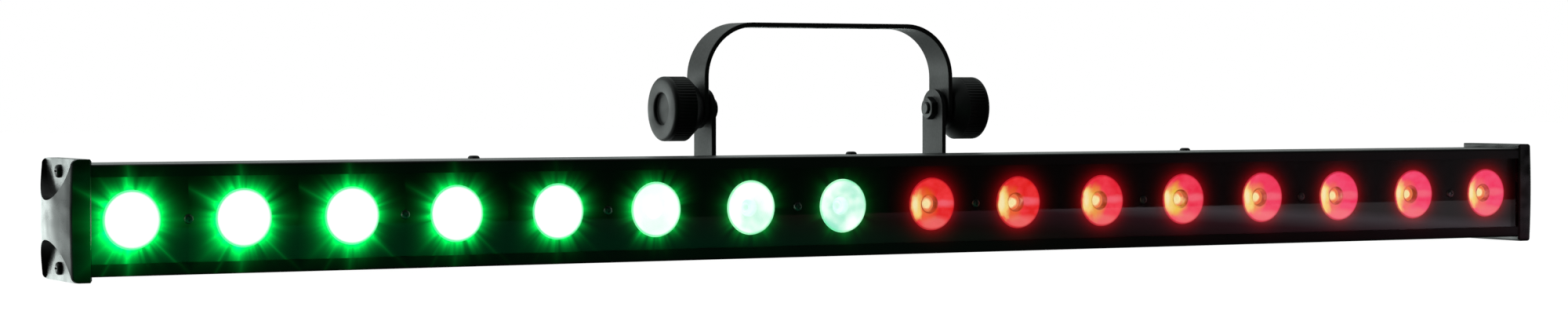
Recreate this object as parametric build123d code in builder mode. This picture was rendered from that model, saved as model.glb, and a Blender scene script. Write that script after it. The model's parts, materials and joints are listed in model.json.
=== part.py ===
from build123d import *

import os

# A one-metre LED strip batten: sixteen lenses behind a window in an aluminium bar, which tilts in a
# strap yoke. X runs along the bar, the lenses face -Y and Z is up. The origin is at the middle of the
# object's length and depth, on the surface that the end caps stand on. Millimetres throughout.

# ------------------------------------------------------------------------- driving dimensions

# Row of lenses
lens_count = 16
lens_pitch = 65.0
lens_z = 34.0
lens_r = 16.4
lens_flange_r = 17.6

# Bar: a channel section with two lips at the front and an open back
bar_front = -54.5
bar_depth = 57.5
bar_height = 62.0
bar_half_length = 516.5
bar_corner_r = 1.5
bar_wall = 2.2
lip_height = 7.0
lip_thickness = 1.4
web_front = -27.0
web_thickness = 2.5
port_r = 3.6
port_bore_r = 2.0
port_offset_z = 27.0

# Window, its seal, and the lens plate behind it
window_thickness = 2.4
window_height = 55.0
seal_thickness = 0.6
seal_width = 3.0
shoulder_thickness = 1.0
plate_front = -48.8
plate_thickness = 1.5
plate_height = 54.0
board_height = 30.0
board_thickness = 1.6

# End caps: a sleeve over the bar's end, and an end face that bulges both ways and has two scallops
cap_inner_x = 512.0
cap_crown_x = 529.5
cap_bulge_y = 6.0
cap_bulge_z = 1.0
cap_proud_y = 1.0
cap_proud_z = 3.0
cap_edge_r = 3.0
cap_chamfer = 1.2
cap_fit = 0.1
cap_wall = 5.0
scallop_r = 29.0
scallop_rise = 6.0
scallop_floor_x = 521.5

# Rear cover
cover_sheet = 1.5
cover_flange = 10.5
cover_screw_y = -3.0
cover_screw_spacing = 262.0

# Driver box behind the bar, and its rear panel
box_half_width = 84.2
box_depth = 47.0
box_height = 54.0
box_sheet = 1.5
cable_hole_z = 52.0
cable_hole_r = 6.0
inlet_x = -58.0
display_x = -14.0
display_z = 42.0
button_z = 21.0
button_pitch = 11.0
button_count = 4
button_r = 3.0
dmx_in_x = 27.0
dmx_out_x = 60.0

# Yoke, ears and the clamping hardware on the tilt axis
pivot_y = 35.0
pivot_z = 94.0
strap_width = 25.0
strap_thickness = 3.0
strap_edge_r = 0.5
ear_inner_x = 84.2
ear_bottom_z = 14.0
spacer_thickness = 2.0
washer_thickness = 1.5
yoke_rise = 55.0
yoke_bend_r = 35.0
yoke_hole_r = 6.25
yoke_hole_spacing = 36.0
stud_r = 4.0
stud_hole_r = 4.5
nut_bore_r = 4.05
nut_flats = 13.0
nut_thickness = 4.5
stud_inner_x = 78.2
stud_outer_x = 110.0
knob_length = 23.3
knob_r = 20.5
knob_hub_r = 14.0
knob_face_r = 18.5
knob_recess_r = 10.3
knob_recess_depth = 2.5
ear_screw_z = (24.0, 46.0)

# ------------------------------------------------------------------------- derived sizes

bar_back = bar_front + bar_depth
bar_mid_y = bar_front + bar_depth / 2
bar_top = lens_z + bar_height / 2
bar_bottom = lens_z - bar_height / 2
port_y = web_front + web_thickness / 2
window_front = bar_front + lip_thickness
window_back = window_front + window_thickness
shoulder_front = window_back + seal_thickness
plate_back = plate_front + plate_thickness
board_front = web_front - board_thickness
box_back = bar_back + box_depth
box_bottom = lens_z - box_height / 2
panel_front = box_back - box_sheet
yoke_inner_x = ear_inner_x + strap_thickness + spacer_thickness
yoke_outer_x = yoke_inner_x + strap_thickness
yoke_top = pivot_z + yoke_rise
knob_inner_x = yoke_outer_x + washer_thickness
knob_outer_x = knob_inner_x + knob_length

lens_x = [(i - (lens_count - 1) / 2) * lens_pitch for i in range(lens_count)]
plate_screw_x = [(lens_x[i] + lens_x[i + 1]) / 2 for i in range(0, lens_count, 2)]
cover_screw_x = [-cover_screw_spacing, 0.0, cover_screw_spacing]
button_x = [display_x + (i - (button_count - 1) / 2) * button_pitch for i in range(button_count)]
port_z = [lens_z - port_offset_z, lens_z + port_offset_z]

os.makedirs("parts", exist_ok=True)


def facing(direction, points):
    """One plane at each point, every one of them facing the same way."""
    return [Plane(origin=point, z_dir=direction) for point in points]


def pan_screw(thread_r, thread_length, head_r, head_height):
    """A cross-recess pan-head screw: its seat is at Z = 0, with the thread below and the head above."""
    with BuildPart() as screw:
        with BuildSketch(Plane.XZ):
            with BuildLine():
                crown = Line((0, head_height), (0.5 * head_r, head_height))
                shoulder = TangentArc(crown @ 1, (head_r, 0.3 * head_height), tangent=crown % 1)
                Polyline(
                    shoulder @ 1,
                    (head_r, 0),
                    (thread_r, 0),
                    (thread_r, -thread_length + 0.5),
                    (thread_r - 0.5, -thread_length),
                    (0, -thread_length),
                    crown @ 0,
                )
            make_face()
        revolve(axis=Axis.Z)
        with BuildSketch(Plane.XY.offset(head_height)):
            Rectangle(1.1 * head_r, 0.26 * head_r)
            Rectangle(0.26 * head_r, 1.1 * head_r)
        extrude(amount=-0.55 * head_height, mode=Mode.SUBTRACT)
    return screw.part


def washer_ring(inner_r, outer_r, inner_x, thickness):
    """A flat ring on the tilt axis, between inner_x and inner_x + thickness."""
    with BuildPart() as ring:
        with BuildSketch(Plane(origin=(inner_x, pivot_y, pivot_z), z_dir=(1, 0, 0))):
            Circle(outer_r)
            Circle(inner_r, mode=Mode.SUBTRACT)
        extrude(amount=thickness)
    return ring.part


# ------------------------------------------------------------------------- bar

plate_screw_points = [(x, web_front, lens_z) for x in plate_screw_x]
cable_point = (0, web_front, cable_hole_z)

with BuildPart() as housing_extrusion:
    with BuildSketch(Plane.YZ):
        with Locations((bar_mid_y, lens_z)):
            RectangleRounded(bar_depth, bar_height, bar_corner_r)
        with Locations((window_front, lens_z)):
            Rectangle(
                bar_depth,
                bar_height - 2 * bar_wall,
                align=(Align.MIN, Align.CENTER),
                mode=Mode.SUBTRACT,
            )
        with Locations((bar_front, lens_z)):
            Rectangle(2 * lip_thickness, bar_height - 2 * lip_height, mode=Mode.SUBTRACT)
        # Shoulders that the window's seal presses on, above and below the window
        with Locations((shoulder_front + shoulder_thickness / 2, lens_z)):
            Rectangle(shoulder_thickness, bar_height - 2 * bar_wall)
            Rectangle(
                shoulder_thickness,
                window_height - 2 * seal_width,
                mode=Mode.SUBTRACT,
            )
        # Heat-sink web that carries the LED boards
        with Locations((port_y, lens_z)):
            Rectangle(web_thickness, bar_height - 2 * bar_wall)
        with Locations((port_y, port_z[0]), (port_y, port_z[1])):
            Circle(port_r)
            Circle(port_bore_r, mode=Mode.SUBTRACT)
    extrude(amount=bar_half_length, both=True)
    with Locations(*facing((0, 0, 1), [(x, cover_screw_y, bar_top) for x in cover_screw_x])):
        Hole(1.7, depth=bar_wall)
    with Locations(*facing((0, 0, -1), [(x, cover_screw_y, bar_bottom) for x in cover_screw_x])):
        Hole(1.7, depth=bar_wall)
    with Locations(*facing((0, -1, 0), plate_screw_points)):
        Hole(1.5, depth=web_thickness)
    with Locations(*facing((0, -1, 0), [cable_point])):
        Hole(4.0, depth=web_thickness)
housing_extrusion.part.label = "housing_extrusion"
export_step(housing_extrusion.part, "parts/housing_extrusion.step")

with BuildPart() as front_window:
    with BuildSketch(Plane.XZ.offset(-window_back)):
        with Locations((0, lens_z)):
            Rectangle(2 * bar_half_length, window_height)
    extrude(amount=window_thickness)
front_window.part.label = "front_window"
export_step(front_window.part, "parts/front_window.step")

seal_mid_offset = (window_height - seal_width) / 2

with BuildPart() as window_seal:
    with BuildSketch(Plane.XZ.offset(-shoulder_front)):
        with Locations((0, lens_z - seal_mid_offset), (0, lens_z + seal_mid_offset)):
            Rectangle(2 * bar_half_length, seal_width)
    extrude(amount=seal_thickness)
window_seal.part.label = "window_seal"
export_step(window_seal.part, "parts/window_seal.step")

# ------------------------------------------------------------------------- optics

post_r = 3.5
post_bore_r = 1.7

with BuildPart() as lens_plate:
    with BuildSketch(Plane.XZ.offset(-plate_back)):
        with Locations((0, lens_z)):
            Rectangle(2 * bar_half_length - 4, plate_height)
        with Locations(*[(x, lens_z) for x in lens_x]):
            Circle(lens_r + 0.3, mode=Mode.SUBTRACT)
    extrude(amount=plate_thickness)
    # Spacer posts from the plate back to the boards, one round each screw
    with BuildSketch(Plane.XZ.offset(-board_front)):
        with Locations(*[(x, lens_z) for x in plate_screw_x]):
            Circle(post_r)
    extrude(amount=board_front - plate_back)
    with Locations(*facing((0, -1, 0), [(x, plate_front, lens_z) for x in plate_screw_x])):
        Hole(post_bore_r, depth=board_front - plate_front)
lens_plate.part.label = "lens_plate"
export_step(lens_plate.part, "parts/lens_plate.step")

plate_screw = pan_screw(1.45, web_front + web_thickness + 0.5 - plate_front, 2.8, 1.4)

with BuildPart() as lens_plate_screws:
    with Locations(*facing((0, -1, 0), [(x, plate_front, lens_z) for x in plate_screw_x])):
        add(plate_screw)
lens_plate_screws.part.label = "lens_plate_screws"
export_step(lens_plate_screws.part, "parts/lens_plate_screws.step")

# Each lens is a collimator: a flat front rim with a dimple, a flange held behind the plate, a curved
# flank that narrows to the back, and a well there that the emitter's dome sits in.
lens_front = plate_front - 0.4
flange_front = plate_back + 0.1
flange_back = flange_front + 1.4
lens_back = board_front - 3.6
lens_back_r = 6.0
well_r = 3.6
well_depth = 5.0
dimple_r = 5.0
dimple_depth = 3.0
dimple_sphere_r = (dimple_r**2 + dimple_depth**2) / (2 * dimple_depth)

for number, x in enumerate(lens_x, start=1):
    name = f"lens_{number:02d}"
    with BuildPart() as lens:
        with BuildSketch(Plane(origin=(x, 0, lens_z), z_dir=(0, 0, 1))):
            with BuildLine():
                rim = Polyline(
                    (0, lens_front),
                    (lens_r, lens_front),
                    (lens_r, flange_front),
                    (lens_flange_r, flange_front),
                    (lens_flange_r, flange_back),
                    (lens_r - 0.2, flange_back),
                )
                flank = ThreePointArc(rim @ 1, (12.2, lens_back - 3.8), (lens_back_r, lens_back))
                Polyline(
                    flank @ 1,
                    (well_r, lens_back),
                    (well_r, lens_back - well_depth),
                    (0, lens_back - well_depth),
                    (0, lens_front),
                )
            make_face()
        revolve(axis=Axis((x, 0, lens_z), (0, 1, 0)))
        with Locations((x, lens_front + dimple_depth - dimple_sphere_r, lens_z)):
            Sphere(dimple_sphere_r, mode=Mode.SUBTRACT)
    lens.part.label = name
    export_step(lens.part, f"parts/{name}.step")

emitter_side = 7.0
emitter_base = 1.2
emitter_dome_r = 2.6
board_end_x = 510.0
board_gap = 2.0

for side_name, side in (("left", -1), ("right", 1)):
    side_lens_x = [x for x in lens_x if x * side > 0]
    side_screw_x = [x for x in plate_screw_x if x * side > 0]

    name = f"pcb_{side_name}"
    with BuildPart() as pcb:
        with BuildSketch(Plane.XZ.offset(-web_front)):
            with Locations((side * (board_end_x + board_gap / 2) / 2, lens_z)):
                Rectangle(board_end_x - board_gap / 2, board_height)
            with Locations(*[(x, lens_z) for x in side_screw_x]):
                Circle(post_bore_r, mode=Mode.SUBTRACT)
        extrude(amount=board_thickness)
    pcb.part.label = name
    export_step(pcb.part, f"parts/{name}.step")

    name = f"led_emitters_{side_name}"
    with BuildPart() as emitters:
        with BuildSketch(Plane.XZ.offset(-board_front)):
            with Locations(*[(x, lens_z) for x in side_lens_x]):
                RectangleRounded(emitter_side, emitter_side, 0.6)
        extrude(amount=emitter_base)
        with Locations(*[(x, board_front - emitter_base, lens_z) for x in side_lens_x]):
            Sphere(emitter_dome_r)
        with BuildSketch(Plane.XZ.offset(-board_front)):
            Rectangle(4 * board_end_x, 4 * board_height)
        extrude(amount=-2 * emitter_dome_r, mode=Mode.SUBTRACT)
    emitters.part.label = name
    export_step(emitters.part, f"parts/{name}.step")

# ------------------------------------------------------------------------- rear cover and its screws

cover_half_height = bar_height / 2 - bar_wall - cap_fit
cover_front = bar_back - cover_flange - cover_sheet
box_screw_x = 74.0
box_screw_points = [(x, z) for x in (-box_screw_x, box_screw_x) for z in (lens_z - 18, lens_z + 18)]

with BuildPart() as rear_cover:
    with BuildSketch(Plane.YZ):
        with Locations((bar_back, lens_z)):
            Rectangle(
                bar_back - cover_front,
                2 * cover_half_height,
                align=(Align.MAX, Align.CENTER),
            )
        with Locations((bar_back - cover_sheet, lens_z)):
            Rectangle(
                2 * cover_flange,
                2 * (cover_half_height - cover_sheet),
                align=(Align.MAX, Align.CENTER),
                mode=Mode.SUBTRACT,
            )
    extrude(amount=bar_half_length - 0.5, both=True)
    with Locations(*facing((0, 0, 1), [(x, cover_screw_y, bar_top) for x in cover_screw_x])):
        Hole(1.5, depth=bar_wall + 2 * cover_sheet)
    with Locations(*facing((0, 0, -1), [(x, cover_screw_y, bar_bottom) for x in cover_screw_x])):
        Hole(1.5, depth=bar_wall + 2 * cover_sheet)
    with Locations(*facing((0, 1, 0), [(x, bar_back, z) for x, z in box_screw_points])):
        Hole(2.0, depth=2 * cover_sheet)
    with Locations(*facing((0, 1, 0), [(0, bar_back, cable_hole_z)])):
        Hole(cable_hole_r, depth=2 * cover_sheet)
rear_cover.part.label = "rear_cover"
export_step(rear_cover.part, "parts/rear_cover.step")

cover_screw = pan_screw(1.45, 6.0, 3.6, 1.7)

with BuildPart() as cover_screws:
    with Locations(*facing((0, 0, 1), [(x, cover_screw_y, bar_top) for x in cover_screw_x])):
        add(cover_screw)
    with Locations(*facing((0, 0, -1), [(x, cover_screw_y, bar_bottom) for x in cover_screw_x])):
        add(cover_screw)
cover_screws.part.label = "cover_screws"
export_step(cover_screws.part, "parts/cover_screws.step")

# ------------------------------------------------------------------------- end caps

cap_back = bar_back + cap_proud_y
cap_depth = bar_depth + 2 * cap_proud_y
cap_top = bar_top + cap_proud_z
cap_bottom = bar_bottom - cap_proud_z
cap_mid_z = (cap_top + cap_bottom) / 2


def bulge_radius(half_width, bulge):
    """Radius of the arc that rises by bulge in the middle of its width."""
    return (half_width**2 + bulge**2) / (2 * bulge)


# The end face is an arc in plan view, swung up and down about a far axis along Y
swing_r = bulge_radius((cap_top - cap_bottom) / 2, cap_bulge_z)
swing_point = (cap_crown_x - swing_r, 0, cap_mid_z)
swing_half_angle = 6.0
swing_plane = Plane(origin=swing_point, z_dir=(0, 0, 1)).rotated((0, swing_half_angle, 0))
sweep_inner_u = swing_r - 2 * (cap_crown_x - cap_inner_x)

with BuildPart() as end_cap_right:
    with BuildSketch(swing_plane):
        with BuildLine():
            crown = ThreePointArc(
                (swing_r - cap_bulge_y, cap_back - cap_depth),
                (swing_r, cap_back - cap_depth / 2),
                (swing_r - cap_bulge_y, cap_back),
            )
            Polyline(
                crown @ 1, (sweep_inner_u, cap_back), (sweep_inner_u, cap_back - cap_depth), crown @ 0
            )
        make_face()
    revolve(axis=Axis(swing_point, (0, -1, 0)), revolution_arc=2 * swing_half_angle)
    with BuildSketch(Plane.YZ.offset(cap_inner_x)):
        with Locations((bar_mid_y, cap_mid_z)):
            Rectangle(cap_depth, cap_top - cap_bottom)
    extrude(amount=2 * (cap_crown_x - cap_inner_x), mode=Mode.INTERSECT)
    fillet(faces().sort_by(Axis.X)[-1].edges(), radius=cap_edge_r)
    chamfer(faces().sort_by(Axis.X)[0].edges(), length=cap_chamfer)
    # Sleeve over the bar's end, and a core-out behind the crown
    with BuildSketch(Plane.YZ.offset(cap_inner_x)):
        with Locations((bar_mid_y, lens_z)):
            RectangleRounded(bar_depth + 2 * cap_fit, bar_height + 2 * cap_fit, bar_corner_r)
    extrude(amount=bar_half_length - cap_inner_x, mode=Mode.SUBTRACT)
    with BuildSketch(Plane.YZ.offset(cap_inner_x)):
        with Locations((bar_mid_y, lens_z)):
            RectangleRounded(0.8 * bar_depth, 0.25 * bar_height, bar_wall)
    extrude(amount=cap_crown_x - cap_wall - cap_inner_x, mode=Mode.SUBTRACT)
    with BuildSketch(Plane.YZ.offset(scallop_floor_x)):
        with Locations((bar_mid_y, cap_bottom - scallop_rise), (bar_mid_y, cap_top + scallop_rise)):
            Circle(scallop_r)
    extrude(amount=scallop_r, mode=Mode.SUBTRACT)
    with Locations(*facing((1, 0, 0), [(scallop_floor_x, port_y, z) for z in port_z])):
        Hole(2.2, depth=scallop_floor_x - bar_half_length + 1)
end_cap_right.part.label = "end_cap_right"
export_step(end_cap_right.part, "parts/end_cap_right.step")

with BuildPart() as end_cap_left:
    add(mirror(end_cap_right.part, about=Plane.YZ, mode=Mode.PRIVATE))
end_cap_left.part.label = "end_cap_left"
export_step(end_cap_left.part, "parts/end_cap_left.step")

cap_screw = pan_screw(1.9, 16.0, 3.7, 2.4)

with BuildPart() as end_cap_screws:
    for side in (-1, 1):
        seats = [(side * scallop_floor_x, port_y, z) for z in port_z]
        with Locations(*facing((side, 0, 0), seats)):
            add(cap_screw)
end_cap_screws.part.label = "end_cap_screws"
export_step(end_cap_screws.part, "parts/end_cap_screws.step")

# ------------------------------------------------------------------------- driver box

panel_half_width = box_half_width - box_sheet - 0.1
panel_half_height = box_height / 2 - box_sheet - 0.1
tab = 8.0
panel_screw_x = box_half_width - box_sheet - tab / 2
panel_screw_z = box_height / 2 - box_sheet - tab / 2
panel_screw_points = [
    (x, lens_z + z) for x in (-panel_screw_x, panel_screw_x) for z in (-panel_screw_z, panel_screw_z)
]
vent_length = 16.0
vent_width = 2.4
vent_pitch = 9.0
vent_count = 14

with BuildPart() as driver_box:
    with BuildSketch(Plane.XZ.offset(-box_back)):
        with Locations((0, lens_z)):
            RectangleRounded(2 * box_half_width, box_height, bar_corner_r)
    extrude(amount=box_depth)
    with BuildSketch(Plane.XZ.offset(-box_back)):
        with Locations((0, lens_z)):
            Rectangle(2 * (box_half_width - box_sheet), box_height - 2 * box_sheet)
    extrude(amount=box_depth - box_sheet, mode=Mode.SUBTRACT)
    # Corner tabs that the rear panel is screwed to
    with BuildSketch(Plane.XZ.offset(-panel_front)):
        with Locations(*panel_screw_points):
            Rectangle(tab, tab)
    extrude(amount=tab)
    with Locations(*facing((0, 1, 0), [(x, panel_front, z) for x, z in panel_screw_points])):
        Hole(1.5, depth=tab)
    # Ear screws in the sides, box screws and the cable hole in the front wall
    for side in (-1, 1):
        ear_seats = [(side * box_half_width, pivot_y, z) for z in ear_screw_z]
        with Locations(*facing((side, 0, 0), ear_seats)):
            Hole(2.5, depth=box_sheet)
    with Locations(*facing((0, -1, 0), [(x, bar_back, z) for x, z in box_screw_points])):
        Hole(2.2, depth=box_sheet)
    with Locations(*facing((0, -1, 0), [(0, bar_back, cable_hole_z)])):
        Hole(cable_hole_r, depth=box_sheet)
    # Ventilation slots through the top and the bottom
    with BuildSketch(Plane.XY.offset(box_bottom)):
        with Locations((0, bar_back + box_depth / 2)):
            with GridLocations(vent_pitch, 0, vent_count, 1):
                SlotOverall(vent_length, vent_width, rotation=90)
    extrude(amount=box_height, mode=Mode.SUBTRACT)
driver_box.part.label = "driver_box"
export_step(driver_box.part, "parts/driver_box.step")

box_screw = pan_screw(1.95, 6.5, 3.8, 2.5)

with BuildPart() as box_mount_screws:
    seats = [(x, bar_back + box_sheet, z) for x, z in box_screw_points]
    with Locations(*facing((0, 1, 0), seats)):
        add(box_screw)
box_mount_screws.part.label = "box_mount_screws"
export_step(box_mount_screws.part, "parts/box_mount_screws.step")

# Rear panel: cut-outs for the inlet, the two round sockets with their screws, the display and buttons
inlet_cut = (27.4, 20.4)
socket_r = 11.9
socket_screw_x = 9.5
socket_screw_z = 12.0
socket_screw_points = []
for x in (dmx_in_x, dmx_out_x):
    socket_screw_points.append((x - socket_screw_x, lens_z + socket_screw_z))
    socket_screw_points.append((x + socket_screw_x, lens_z - socket_screw_z))
display_size = (30.0, 14.0)
button_points = [(x, button_z) for x in button_x]

with BuildPart() as box_panel:
    with BuildSketch(Plane.XZ.offset(-box_back)):
        with Locations((0, lens_z)):
            Rectangle(2 * panel_half_width, 2 * panel_half_height)
        with Locations((inlet_x, lens_z)):
            Rectangle(*inlet_cut, mode=Mode.SUBTRACT)
        with Locations((dmx_in_x, lens_z), (dmx_out_x, lens_z)):
            Circle(socket_r + 0.1, mode=Mode.SUBTRACT)
        with Locations(*socket_screw_points):
            Circle(1.6, mode=Mode.SUBTRACT)
        with Locations((display_x, display_z)):
            Rectangle(display_size[0] + 0.4, display_size[1] + 0.4, mode=Mode.SUBTRACT)
        with Locations(*button_points):
            Circle(button_r + 0.06, mode=Mode.SUBTRACT)
        with Locations(*panel_screw_points):
            Circle(1.7, mode=Mode.SUBTRACT)
    extrude(amount=box_sheet)
box_panel.part.label = "box_panel"
export_step(box_panel.part, "parts/box_panel.step")

panel_screw = pan_screw(1.45, 8.0, 2.8, 1.8)

with BuildPart() as box_panel_screws:
    with Locations(*facing((0, 1, 0), [(x, box_back, z) for x, z in panel_screw_points])):
        add(panel_screw)
box_panel_screws.part.label = "box_panel_screws"
export_step(box_panel_screws.part, "parts/box_panel_screws.step")

# ------------------------------------------------------------------------- what the box holds

supply_board_y = 8.5
supply_size = (130.0, 32.0)
supply_z = 28.0

with BuildPart() as power_supply:
    with BuildSketch(Plane.XZ.offset(-(supply_board_y + board_thickness))):
        with Locations((0, supply_z)):
            Rectangle(*supply_size)
    extrude(amount=board_thickness)
    # Stand-offs to the box's front wall
    with BuildSketch(Plane.XZ.offset(-supply_board_y)):
        with Locations((0, supply_z)):
            with GridLocations(supply_size[0] - 8, supply_size[1] - 8, 2, 2):
                Circle(2.5)
    extrude(amount=supply_board_y - bar_back - box_sheet)
    # Transformer, choke, terminal block and capacitors
    with BuildSketch(Plane.XZ.offset(-(supply_board_y + board_thickness))):
        with Locations((14, supply_z)):
            RectangleRounded(26, 24, 2)
        with Locations((-22, supply_z)):
            RectangleRounded(18, 16, 2)
        with Locations((inlet_x, supply_z + 4)):
            Rectangle(12, 20)
        with Locations((42, supply_z - 7), (42, supply_z + 7), (56, supply_z)):
            Circle(6)
    extrude(amount=-14)
power_supply.part.label = "power_supply"
export_step(power_supply.part, "parts/power_supply.step")

control_front = 40.0
control_back = control_front + board_thickness
button_back = 46.2
button_travel = 1.0

with BuildPart() as control_board:
    with BuildSketch(Plane.XZ.offset(-control_back)):
        with Locations((display_x, lens_z)):
            Rectangle(50, 46)
    extrude(amount=board_thickness)
    with BuildSketch(Plane.XZ.offset(-control_back)):
        with Locations((display_x, lens_z)):
            with GridLocations(42, 38, 2, 2):
                Circle(2.2)
    extrude(amount=-(panel_front - control_back))
    # A push switch behind each button
    with BuildSketch(Plane.XZ.offset(-control_back)):
        with Locations(*button_points):
            Rectangle(6, 6)
    extrude(amount=-(button_back - button_travel - 0.1 - control_back))
control_board.part.label = "control_board"
export_step(control_board.part, "parts/control_board.step")

with BuildPart() as display:
    with BuildSketch(Plane.XZ.offset(-control_back)):
        with Locations((display_x, display_z)):
            RectangleRounded(*display_size, 0.8)
    extrude(amount=-(box_back + 0.6 - control_back))
    chamfer(faces().sort_by(Axis.Y)[-1].edges(), length=0.4)
display.part.label = "display"
export_step(display.part, "parts/display.step")

# Each button has a collar behind the panel that keeps it in.
for number, x in enumerate(button_x, start=1):
    name = f"menu_button_{number}"
    with BuildPart() as button:
        with BuildSketch(Plane.XZ.offset(-button_back)):
            with Locations((x, button_z)):
                Circle(button_r)
        extrude(amount=-(box_back + 1.9 - button_back))
        chamfer(faces().sort_by(Axis.Y)[-1].edges(), length=0.4)
        with BuildSketch(Plane.XZ.offset(-button_back)):
            with Locations((x, button_z)):
                Circle(button_r + 0.9)
        extrude(amount=-(panel_front - 0.1 - button_back))
    button.part.label = name
    export_step(button.part, f"parts/{name}.step")

# Wires: one cable from the control board to the LED boards, and three mains leads
cable_r = 3.0
connector_height = 7.6

with BuildPart() as wiring:
    with BuildSketch(Plane.XZ.offset(-control_front)):
        with Locations((0, cable_hole_z)):
            Circle(cable_r)
    extrude(amount=control_front - web_front)
    with BuildSketch(Plane.XZ.offset(-web_front)):
        with Locations((0, lens_z + board_height / 2 + 0.2 + connector_height / 2)):
            RectangleRounded(24, connector_height, 1)
    extrude(amount=9)
    with BuildSketch(Plane.XZ.offset(-control_front)):
        with Locations((0, cable_hole_z)):
            RectangleRounded(14, connector_height, 1)
    extrude(amount=6)
    with BuildSketch(Plane.XZ.offset(-(supply_board_y + board_thickness + 14))):
        with Locations((inlet_x, lens_z)):
            with GridLocations(4, 0, 3, 1):
                Circle(1.0)
    extrude(amount=-7.4)
wiring.part.label = "wiring"
export_step(wiring.part, "parts/wiring.step")

# Mains inlet: a flanged body with a cavity and three flat pins
inlet_back = box_back - 18.0
inlet_face = box_back + 2.5
inlet_pin_back = inlet_face - 15.0

with BuildPart() as power_inlet:
    with BuildSketch(Plane.XZ.offset(-inlet_back)):
        with Locations((inlet_x, lens_z)):
            Rectangle(27.0, 20.0)
    extrude(amount=-(box_back - inlet_back))
    with BuildSketch(Plane.XZ.offset(-box_back)):
        with Locations((inlet_x, lens_z)):
            RectangleRounded(31.0, 24.5, 2.0)
    extrude(amount=-(inlet_face - box_back))
    chamfer(faces().sort_by(Axis.Y)[-1].edges(), length=0.5)
    with BuildSketch(Plane.XZ.offset(-inlet_pin_back)):
        with Locations((inlet_x, lens_z)):
            Rectangle(24.8, 16.8)
            chamfer(vertices().group_by(Axis.Y)[-1], length=4.0)
    extrude(amount=-(inlet_face - inlet_pin_back), mode=Mode.SUBTRACT)
    with BuildSketch(Plane.XZ.offset(-inlet_pin_back)):
        with Locations((inlet_x - 7, lens_z - 2), (inlet_x, lens_z + 2), (inlet_x + 7, lens_z - 2)):
            Rectangle(2.0, 4.0)
    extrude(amount=-12.0)
power_inlet.part.label = "power_inlet"
export_step(power_inlet.part, "parts/power_inlet.step")

# Round three-pole control sockets on square flanges
socket_flange = 2.0
socket_face = box_back + socket_flange
socket_back = box_back - 20.0
pin_circle = [(3.45, 2.0), (-3.45, 2.0), (0.0, -4.0)]
pin_r = 1.2
shell_r = 9.5

with BuildPart() as dmx_in_socket:
    with BuildSketch(Plane.XZ.offset(-socket_back)):
        with Locations((dmx_in_x, lens_z)):
            Circle(socket_r)
    extrude(amount=-(box_back - socket_back))
    with BuildSketch(Plane.XZ.offset(-box_back)):
        with Locations((dmx_in_x, lens_z)):
            RectangleRounded(26.0, 31.0, 3.0)
        with Locations(*socket_screw_points[:2]):
            Circle(1.6, mode=Mode.SUBTRACT)
    extrude(amount=-socket_flange)
    with BuildSketch(Plane.XZ.offset(-(socket_face - 16.0))):
        with Locations((dmx_in_x, lens_z)):
            Circle(shell_r)
        with Locations(*[(dmx_in_x + x, lens_z + z) for x, z in pin_circle]):
            Circle(pin_r, mode=Mode.SUBTRACT)
    extrude(amount=-16.0, mode=Mode.SUBTRACT)
    # The pins stop short of the face
    with BuildSketch(Plane.XZ.offset(-(socket_face - 3.0))):
        with Locations((dmx_in_x, lens_z)):
            Circle(shell_r)
    extrude(amount=-socket_flange - 1, mode=Mode.SUBTRACT)
dmx_in_socket.part.label = "dmx_in_socket"
export_step(dmx_in_socket.part, "parts/dmx_in_socket.step")

insert_r = 7.9
groove_r = 9.8
latch_size = (5.0, 2.5)
latch_z = lens_z + 9.85
latch_clearance = 0.05
latch_travel = 1.5
latch_back = socket_face - 6.0

with BuildPart() as dmx_out_socket:
    with BuildSketch(Plane.XZ.offset(-socket_back)):
        with Locations((dmx_out_x, lens_z)):
            Circle(socket_r)
    extrude(amount=-(box_back - socket_back))
    with BuildSketch(Plane.XZ.offset(-box_back)):
        with Locations((dmx_out_x, lens_z)):
            RectangleRounded(26.0, 31.0, 3.0)
        with Locations(*socket_screw_points[2:]):
            Circle(1.6, mode=Mode.SUBTRACT)
    extrude(amount=-socket_flange)
    with BuildSketch(Plane.XZ.offset(-(socket_face - 14.0))):
        with Locations((dmx_out_x, lens_z)):
            Circle(groove_r)
            Circle(insert_r, mode=Mode.SUBTRACT)
    extrude(amount=-14.0, mode=Mode.SUBTRACT)
    with BuildSketch(Plane.XZ.offset(-(socket_face - 12.0))):
        with Locations(*[(dmx_out_x + x, lens_z + z) for x, z in pin_circle]):
            Circle(pin_r + 0.15)
    extrude(amount=-12.0, mode=Mode.SUBTRACT)
    # Slot that the release latch slides in
    with BuildSketch(Plane.XZ.offset(-(latch_back - latch_travel - 0.5))):
        with Locations((dmx_out_x, latch_z)):
            Rectangle(latch_size[0] + 2 * latch_clearance, latch_size[1] + 2 * latch_clearance)
    extrude(amount=-(socket_face - latch_back + latch_travel + 0.5), mode=Mode.SUBTRACT)
dmx_out_socket.part.label = "dmx_out_socket"
export_step(dmx_out_socket.part, "parts/dmx_out_socket.step")

with BuildPart() as dmx_out_latch:
    with BuildSketch(Plane.XZ.offset(-latch_back)):
        with Locations((dmx_out_x, latch_z)):
            Rectangle(*latch_size)
    extrude(amount=-(socket_face + 2.0 - latch_back))
    fillet(faces().sort_by(Axis.Y)[-1].edges(), radius=0.5)
dmx_out_latch.part.label = "dmx_out_latch"
export_step(dmx_out_latch.part, "parts/dmx_out_latch.step")

socket_screw = pan_screw(1.45, 7.0, 2.6, 1.5)

with BuildPart() as socket_screws:
    with Locations(*facing((0, 1, 0), [(x, socket_face, z) for x, z in socket_screw_points])):
        add(socket_screw)
socket_screws.part.label = "socket_screws"
export_step(socket_screws.part, "parts/socket_screws.step")

# ------------------------------------------------------------------------- ears

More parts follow.
